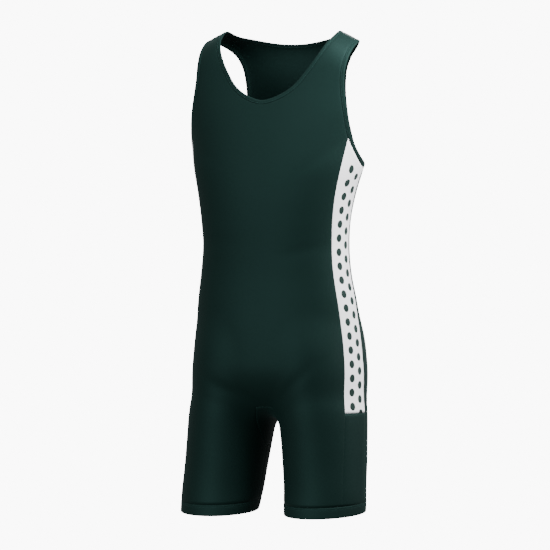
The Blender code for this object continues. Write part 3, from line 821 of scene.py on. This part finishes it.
# Leg bands.
# The end of each leg is turned up inside and held by two rows of cover stitch, which show as slightly paler
# lines below the seam, with a soft fold at the bottom.
BAND = np.array([
    # above the bottom fold and off the figure, in mm, round the band's section; its end is let into the panel
    (20.8, -0.95), (20.1, -0.45), (19.7, 0.08), (19.1, 0.14), (18.6, 0.00), (18.1, 0.12), (17.2, 0.18),
    (16.4, 0.12), (15.9, 0.00), (15.4, 0.12), (14.0, 0.22), (10.0, 0.24), (6.0, 0.22), (3.0, 0.16),
    (1.4, 0.02), (0.5, -0.35), (0.1, -0.90), (0.0, -1.35), (0.3, -1.95), (1.2, -2.40), (3.0, -2.58),
    (8.0, -2.60), (14.0, -2.60), (18.5, -2.50), (20.0, -1.90), (20.8, -1.35),
]) / 1000
BAND_ROWS = (0.0186, 0.0159)                        # rows of stitches above the bottom fold
BAND_RISE, BAND_RISE_INSIDE = 0.00010, -0.00262     # of the thread off the figure, outside and inside
RING_STEP = 0.0012                                  # least step round the hem; closer points are left out
ring = np.concatenate([panels["front"][0], side_grid[0][1:], panels["back"][0, ::-1][1:-1]])
ring = ring[np.linalg.norm(ring - np.roll(ring, 1, 0), axis=1) > RING_STEP]
for hand, side in (("left", 1), ("right", -1)):
    columns = []
    for height, rise in BAND:
        line = at_hem(ring, height)
        columns.append(settled(line, side) + rise * outward(line))
    grid = np.stack(columns, 1) * (side, 1, 1)
    sewing = [stitches(f"leg_band_stitches_{hand}_{k + 1}", at_hem(ring, height), BAND_RISE, side)
              for k, height in enumerate(BAND_ROWS)]
    sewing.append(stitches(f"leg_band_stitches_inside_{hand}", at_hem(ring, BAND_ROWS[1]),
                           BAND_RISE_INSIDE, side))
    add_strip("leg_band_" + hand, "hem_" + hand, grid)


# The studio.
# A white room with a strong soft light above the camera's right, a weaker one low on the side band, and broad
# faint ones from the left, from above and from behind, which shows the back. The camera stands far off,
# 25 degrees round from the front to the wearer's left.
AZIMUTH, ELEVATION, DISTANCE = np.radians(25.0), np.radians(1.5), 10.0
VIEW_WIDTH, SENSOR_WIDTH, FAR_END = 1.023, 36.0, 40.0
MIDDLE_LEVEL, SHIFT_RIGHT, SHIFT_UP = -0.45, -0.0149, -0.00186     # what the middle of the picture looks at


def heading(turn, height):
    """The unit vector that points up by height and round by turn from the front to the wearer's left."""
    return np.array([np.sin(turn) * np.cos(height), -np.cos(turn) * np.cos(height), np.sin(height)])


back = heading(AZIMUTH, ELEVATION)
right = np.array([np.cos(AZIMUTH), np.sin(AZIMUTH), 0.0])
top = np.cross(back, right)
target = np.array([0, 0, MIDDLE_LEVEL]) + SHIFT_RIGHT * right + SHIFT_UP * top


def facing(obj, place, aim):
    """Puts obj at a place with its -Z axis towards the aim."""
    obj.location = place
    obj.rotation_euler = (Vector(aim) - Vector(place)).to_track_quat("-Z", "Y").to_euler()


cam_data = bpy.data.cameras.new("Camera")
cam_data.sensor_width = SENSOR_WIDTH
cam_data.lens = SENSOR_WIDTH * DISTANCE / VIEW_WIDTH
cam_data.clip_end = FAR_END
camera = bpy.data.objects.new("Camera", cam_data)
bpy.context.scene.collection.objects.link(camera)
facing(camera, target + back * DISTANCE, target)
bpy.context.scene.camera = camera

LIGHTS = [
    # name, turn from the camera and height in degrees, distance, width, tall, watts, aim above the middle
    ("Key", 54, 38, 1.0, 0.6, 0.6, 42, 0.40),
    ("Side", 86, 14, 1.5, 0.6, 1.0, 22, 0.18),
    ("Fill", -40, 6, 3.0, 1.8, 2.2, 90, -0.15),
    ("Top", 0, 74, 2.4, 1.6, 1.2, 60, 0.2),
    ("Behind", 170, 20, 3.5, 1.8, 2.2, 90, 0.0),
]
for name, turn, height, distance, width, tall, watts, above in LIGHTS:
    data = bpy.data.lights.new(name, "AREA")
    data.shape, data.size, data.size_y, data.energy = "RECTANGLE", width, tall, watts
    lamp = bpy.data.objects.new(name, data)
    bpy.context.scene.collection.objects.link(lamp)
    aim = target + (0, 0, above)
    facing(lamp, aim + distance * heading(AZIMUTH + np.radians(turn), np.radians(height)), aim)

# The room's soft light, and the white paper all round that only the camera sees.
ROOM_LIGHT, PAPER_LIGHT = 0.25, 12.0
world = bpy.data.worlds.new("Studio")
world.use_nodes = True
room = world.node_tree
room.nodes["Background"].inputs["Color"].default_value = (1.0, 1.0, 1.0, 1)
room.nodes["Background"].inputs["Strength"].default_value = ROOM_LIGHT
paper = room.nodes.new("ShaderNodeBackground")
paper.inputs["Strength"].default_value = PAPER_LIGHT
seen = room.nodes.new("ShaderNodeLightPath")
either = room.nodes.new("ShaderNodeMixShader")
link(room, seen.outputs["Is Camera Ray"], either.inputs["Fac"])
link(room, room.nodes["Background"].outputs[0], either.inputs[1])
link(room, paper.outputs[0], either.inputs[2])
link(room, either.outputs[0], room.nodes["World Output"].inputs["Surface"])
bpy.context.scene.world = world

# The singlet hangs clear of a pale floor, which is seen from above only.
FLOOR_LEVEL, FLOOR_HALF = -1.30, 2.5
FLOOR_GREY, FLOOR_ROUGHNESS = (0.80, 0.80, 0.80), 0.90
floor_paint = bpy.data.materials.new("Floor paint")
floor_paint.use_nodes = True
tree = floor_paint.node_tree
tree.nodes["Principled BSDF"].inputs["Base Color"].default_value = (*FLOOR_GREY, 1)
tree.nodes["Principled BSDF"].inputs["Roughness"].default_value = FLOOR_ROUGHNESS
underside = tree.nodes.new("ShaderNodeMixShader")
link(tree, tree.nodes.new("ShaderNodeNewGeometry").outputs["Backfacing"], underside.inputs["Fac"])
link(tree, tree.nodes["Principled BSDF"].outputs[0], underside.inputs[1])
link(tree, tree.nodes.new("ShaderNodeBsdfTransparent").outputs[0], underside.inputs[2])
link(tree, underside.outputs[0], tree.nodes["Material Output"].inputs["Surface"])
floor_mesh = bpy.data.meshes.new("Floor")
corners = [(FLOOR_HALF * x, FLOOR_HALF * y, FLOOR_LEVEL) for x, y in ((-1, -1), (1, -1), (1, 1), (-1, 1))]
floor_mesh.from_pydata(corners, [], [(0, 1, 2, 3)])
floor_mesh.materials.append(floor_paint)
floor = bpy.data.objects.new("Floor", floor_mesh)
bpy.context.scene.collection.objects.link(floor)
floor.visible_diffuse = floor.visible_glossy = False
